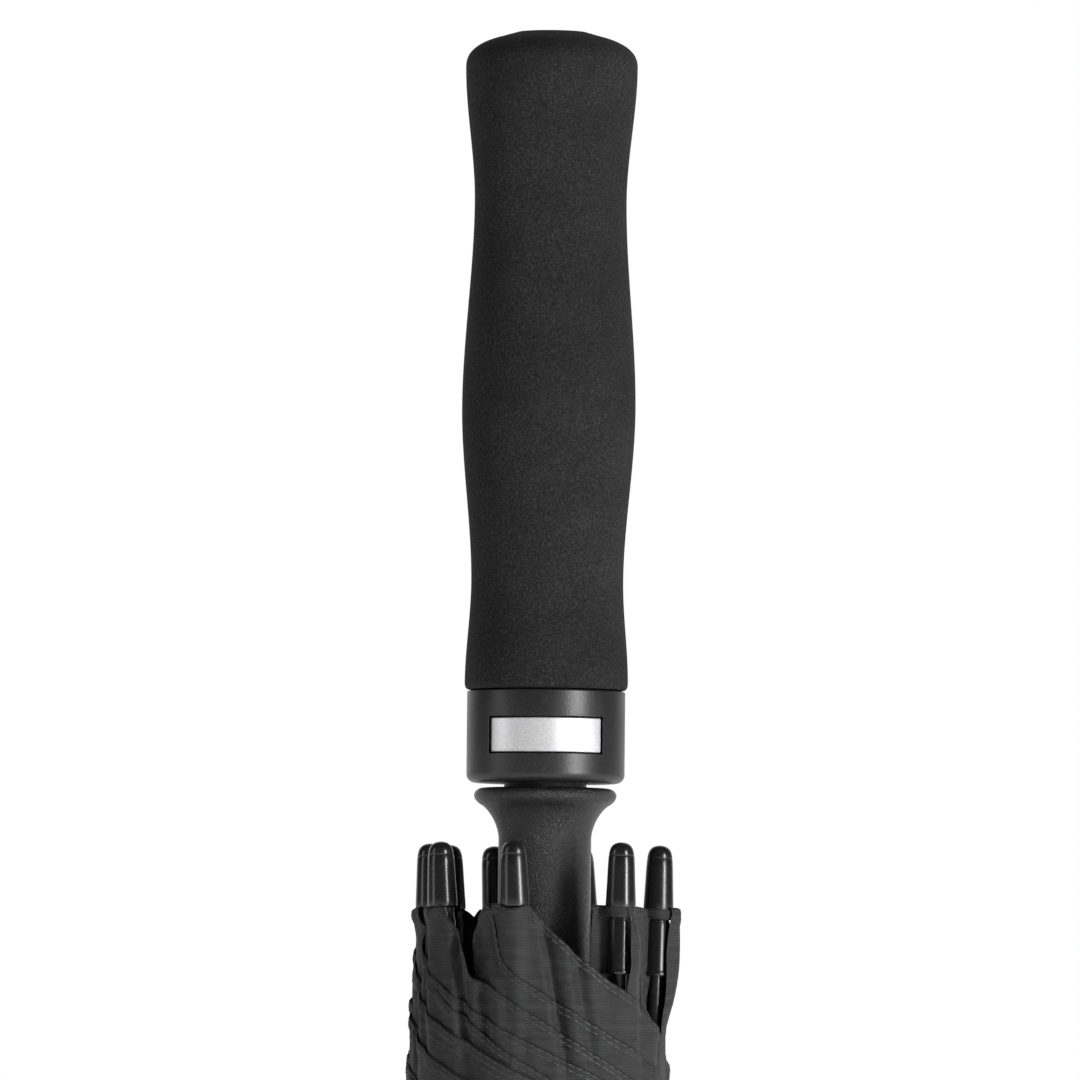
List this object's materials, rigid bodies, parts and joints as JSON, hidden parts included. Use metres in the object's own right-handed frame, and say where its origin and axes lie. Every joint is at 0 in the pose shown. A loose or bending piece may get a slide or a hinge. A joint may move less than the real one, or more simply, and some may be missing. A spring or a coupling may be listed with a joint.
{
  "type": "golf umbrella",
  "caption": "Closed stick umbrella for golf with a waisted foam grip, push-button release, runner, hinged ribs and stretchers, and a dark furled canopy.",
  "frame": {"origin": "middle of the ferrule's flat end, on the shaft's axis", "axes": "+Z along the shaft from the ferrule to the grip; -Y is the release button's side"},
  "size_m": [0.0598, 0.0617, 0.99],
  "materials": {
    "foam": "matte closed-cell foam",
    "black_plastic": "satin",
    "tip_plastic": "gloss",
    "silver": "fine silver lacquer",
    "steel": "satin",
    "black_steel": "black lacquer",
    "fibreglass": "satin",
    "cloth": "fine plain weave, matte"
  },
  "bodies": {
    "shaft_and_handle": {"shaft": "fibreglass", "ferrule": "black_plastic", "rosette": "black_plastic", "canopy_centre": "cloth", "crown": "black_plastic", "crown_wire": "steel", "crown_pin": "steel", "handle_core": "black_plastic", "grip": "foam", "handle_collar": "black_plastic", "handle_pin": "steel", "spring_plug": "black_plastic", "button_spring": "steel", "opening_spring": "steel"},
    "button": {"release_button": "silver", "catch_plate": "steel"},
    "runner": {"runner": "black_plastic", "runner_wire": "steel", "driver": "steel"},
    "rib_1": {"rib_1": "fibreglass", "rib_tip_1": "tip_plastic"},
    "stretcher_1": {"stretcher_1": "black_steel"},
    "canopy_1": {"canopy_panel_1": "cloth", "closing_strap": "cloth", "strap_stud": "steel"},
    "rib_2": {"rib_2": "fibreglass", "rib_tip_2": "tip_plastic"},
    "stretcher_2": {"stretcher_2": "black_steel"},
    "canopy_2": {"canopy_panel_2": "cloth"},
    "rib_3": {"rib_3": "fibreglass", "rib_tip_3": "tip_plastic"},
    "stretcher_3": {"stretcher_3": "black_steel"},
    "canopy_3": {"canopy_panel_3": "cloth"},
    "rib_4": {"rib_4": "fibreglass", "rib_tip_4": "tip_plastic"},
    "stretcher_4": {"stretcher_4": "black_steel"},
    "canopy_4": {"canopy_panel_4": "cloth"},
    "rib_5": {"rib_5": "fibreglass", "rib_tip_5": "tip_plastic"},
    "stretcher_5": {"stretcher_5": "black_steel"},
    "canopy_5": {"canopy_panel_5": "cloth"},
    "rib_6": {"rib_6": "fibreglass", "rib_tip_6": "tip_plastic"},
    "stretcher_6": {"stretcher_6": "black_steel"},
    "canopy_6": {"canopy_panel_6": "cloth"},
    "rib_7": {"rib_7": "fibreglass", "rib_tip_7": "tip_plastic"},
    "stretcher_7": {"stretcher_7": "black_steel"},
    "canopy_7": {"canopy_panel_7": "cloth"},
    "rib_8": {"rib_8": "fibreglass", "rib_tip_8": "tip_plastic"},
    "stretcher_8": {"stretcher_8": "black_steel"},
    "canopy_8": {"canopy_panel_8": "cloth"}
  },
  "joints": [
    {"name": "button_push", "type": "slide", "parent": "shaft_and_handle", "child": "button", "axis": [0, 1, 0], "range_m": [0, 0.002], "stiffness_N_per_m": 600, "springref_m": -0.002, "deforming": ["button_spring"]},
    {"name": "rib_1_hinge", "type": "hinge", "parent": "shaft_and_handle", "child": "rib_1", "pos_m": [0, -0.011, 0.08], "axis": [1, 0, 0], "range_deg": [0, 70.73]},
    {"name": "stretcher_1_pivot", "type": "hinge", "parent": "rib_1", "child": "stretcher_1", "pos_m": [0, -0.01832, 0.41], "axis": [1, 0, 0], "range_deg": [-141.47, 0]},
    {"name": "canopy_1_spread", "type": "hinge", "parent": "rib_1", "child": "canopy_1", "pos_m": [0.00456, -0.011, 0.08], "axis": [-0.32, 0.7726, -0.5483], "range_deg": [0, 51.2], "deforming": ["canopy_panel_1", "closing_strap"]},
    {"name": "runner_pivot", "type": "hinge", "parent": "stretcher_1", "child": "runner", "pos_m": [0, -0.011, 0.74], "axis": [1, 0, 0], "range_deg": [0, 70.74], "deforming": ["opening_spring"]},
    {"name": "rib_2_hinge", "type": "hinge", "parent": "shaft_and_handle", "child": "rib_2", "pos_m": [0.00778, -0.00778, 0.08], "axis": [0.7071, 0.7071, 0], "range_deg": [0, 70.73]},
    {"name": "stretcher_2_pivot", "type": "hinge", "parent": "rib_2", "child": "stretcher_2", "pos_m": [0.01295, -0.01295, 0.41], "axis": [0.7071, 0.7071, 0], "range_deg": [-141.47, 0]},
    {"name": "canopy_2_spread", "type": "hinge", "parent": "rib_2", "child": "canopy_2", "pos_m": [0.011, -0.00456, 0.08], "axis": [-0.7726, 0.32, -0.5483], "range_deg": [0, 51.2], "deforming": ["canopy_panel_2"]},
    {"name": "rib_3_hinge", "type": "hinge", "parent": "shaft_and_handle", "child": "rib_3", "pos_m": [0.011, 0, 0.08], "axis": [0, 1, 0], "range_deg": [0, 70.73]},
    {"name": "stretcher_3_pivot", "type": "hinge", "parent": "rib_3", "child": "stretcher_3", "pos_m": [0.01832, 0, 0.41], "axis": [0, 1, 0], "range_deg": [-141.47, 0]},
    {"name": "canopy_3_spread", "type": "hinge", "parent": "rib_3", "child": "canopy_3", "pos_m": [0.011, 0.00456, 0.08], "axis": [-0.7726, -0.32, -0.5483], "range_deg": [0, 51.2], "deforming": ["canopy_panel_3"]},
    {"name": "rib_4_hinge", "type": "hinge", "parent": "shaft_and_handle", "child": "rib_4", "pos_m": [0.00778, 0.00778, 0.08], "axis": [-0.7071, 0.7071, 0], "range_deg": [0, 70.73]},
    {"name": "stretcher_4_pivot", "type": "hinge", "parent": "rib_4", "child": "stretcher_4", "pos_m": [0.01295, 0.01295, 0.41], "axis": [-0.7071, 0.7071, 0], "range_deg": [-141.47, 0]},
    {"name": "canopy_4_spread", "type": "hinge", "parent": "rib_4", "child": "canopy_4", "pos_m": [0.00456, 0.011, 0.08], "axis": [-0.32, -0.7726, -0.5483], "range_deg": [0, 51.2], "deforming": ["canopy_panel_4"]},
    {"name": "rib_5_hinge", "type": "hinge", "parent": "shaft_and_handle", "child": "rib_5", "pos_m": [0, 0.011, 0.08], "axis": [-1, 0, 0], "range_deg": [0, 70.73]},
    {"name": "stretcher_5_pivot", "type": "hinge", "parent": "rib_5", "child": "stretcher_5", "pos_m": [0, 0.01832, 0.41], "axis": [-1, 0, 0], "range_deg": [-141.47, 0]},
    {"name": "canopy_5_spread", "type": "hinge", "parent": "rib_5", "child": "canopy_5", "pos_m": [-0.00456, 0.011, 0.08], "axis": [0.32, -0.7726, -0.5483], "range_deg": [0, 51.2], "deforming": ["canopy_panel_5"]},
    {"name": "rib_6_hinge", "type": "hinge", "parent": "shaft_and_handle", "child": "rib_6", "pos_m": [-0.00778, 0.00778, 0.08], "axis": [-0.7071, -0.7071, 0], "range_deg": [0, 70.73]},
    {"name": "stretcher_6_pivot", "type": "hinge", "parent": "rib_6", "child": "stretcher_6", "pos_m": [-0.01295, 0.01295, 0.41], "axis": [-0.7071, -0.7071, 0], "range_deg": [-141.47, 0]},
    {"name": "canopy_6_spread", "type": "hinge", "parent": "rib_6", "child": "canopy_6", "pos_m": [-0.011, 0.00456, 0.08], "axis": [0.7726, -0.32, -0.5483], "range_deg": [0, 51.2], "deforming": ["canopy_panel_6"]},
    {"name": "rib_7_hinge", "type": "hinge", "parent": "shaft_and_handle", "child": "rib_7", "pos_m": [-0.011, 0, 0.08], "axis": [0, -1, 0], "range_deg": [0, 70.73]},
    {"name": "stretcher_7_pivot", "type": "hinge", "parent": "rib_7", "child": "stretcher_7", "pos_m": [-0.01832, 0, 0.41], "axis": [0, -1, 0], "range_deg": [-141.47, 0]},
    {"name": "canopy_7_spread", "type": "hinge", "parent": "rib_7", "child": "canopy_7", "pos_m": [-0.011, -0.00456, 0.08], "axis": [0.7726, 0.32, -0.5483], "range_deg": [0, 51.2], "deforming": ["canopy_panel_7"]},
    {"name": "rib_8_hinge", "type": "hinge", "parent": "shaft_and_handle", "child": "rib_8", "pos_m": [-0.00778, -0.00778, 0.08], "axis": [0.7071, -0.7071, 0], "range_deg": [0, 70.73]},
    {"name": "stretcher_8_pivot", "type": "hinge", "parent": "rib_8", "child": "stretcher_8", "pos_m": [-0.01295, -0.01295, 0.41], "axis": [0.7071, -0.7071, 0], "range_deg": [-141.47, 0]},
    {"name": "canopy_8_spread", "type": "hinge", "parent": "rib_8", "child": "canopy_8", "pos_m": [-0.00456, -0.011, 0.08], "axis": [0.32, 0.7726, -0.5483], "range_deg": [0, 51.2], "deforming": ["canopy_panel_8"]}
  ],
  "couplings": [
    {"joint": "stretcher_1_pivot", "follows": "rib_1_hinge", "ratio": -2},
    {"joint": "canopy_1_spread", "follows": "rib_1_hinge", "ratio": 0.72369},
    {"joint": "runner_pivot", "follows": "rib_1_hinge", "ratio": 1},
    {"joint": "rib_2_hinge", "follows": "rib_1_hinge", "ratio": 1},
    {"joint": "stretcher_2_pivot", "follows": "rib_1_hinge", "ratio": -2},
    {"joint": "canopy_2_spread", "follows": "rib_1_hinge", "ratio": 0.72369},
    {"joint": "rib_3_hinge", "follows": "rib_1_hinge", "ratio": 1},
    {"joint": "stretcher_3_pivot", "follows": "rib_1_hinge", "ratio": -2},
    {"joint": "canopy_3_spread", "follows": "rib_1_hinge", "ratio": 0.72369},
    {"joint": "rib_4_hinge", "follows": "rib_1_hinge", "ratio": 1},
    {"joint": "stretcher_4_pivot", "follows": "rib_1_hinge", "ratio": -2},
    {"joint": "canopy_4_spread", "follows": "rib_1_hinge", "ratio": 0.72369},
    {"joint": "rib_5_hinge", "follows": "rib_1_hinge", "ratio": 1},
    {"joint": "stretcher_5_pivot", "follows": "rib_1_hinge", "ratio": -2},
    {"joint": "canopy_5_spread", "follows": "rib_1_hinge", "ratio": 0.72369},
    {"joint": "rib_6_hinge", "follows": "rib_1_hinge", "ratio": 1},
    {"joint": "stretcher_6_pivot", "follows": "rib_1_hinge", "ratio": -2},
    {"joint": "canopy_6_spread", "follows": "rib_1_hinge", "ratio": 0.72369},
    {"joint": "rib_7_hinge", "follows": "rib_1_hinge", "ratio": 1},
    {"joint": "stretcher_7_pivot", "follows": "rib_1_hinge", "ratio": -2},
    {"joint": "canopy_7_spread", "follows": "rib_1_hinge", "ratio": 0.72369},
    {"joint": "rib_8_hinge", "follows": "rib_1_hinge", "ratio": 1},
    {"joint": "stretcher_8_pivot", "follows": "rib_1_hinge", "ratio": -2},
    {"joint": "canopy_8_spread", "follows": "rib_1_hinge", "ratio": 0.72369}
  ]
}
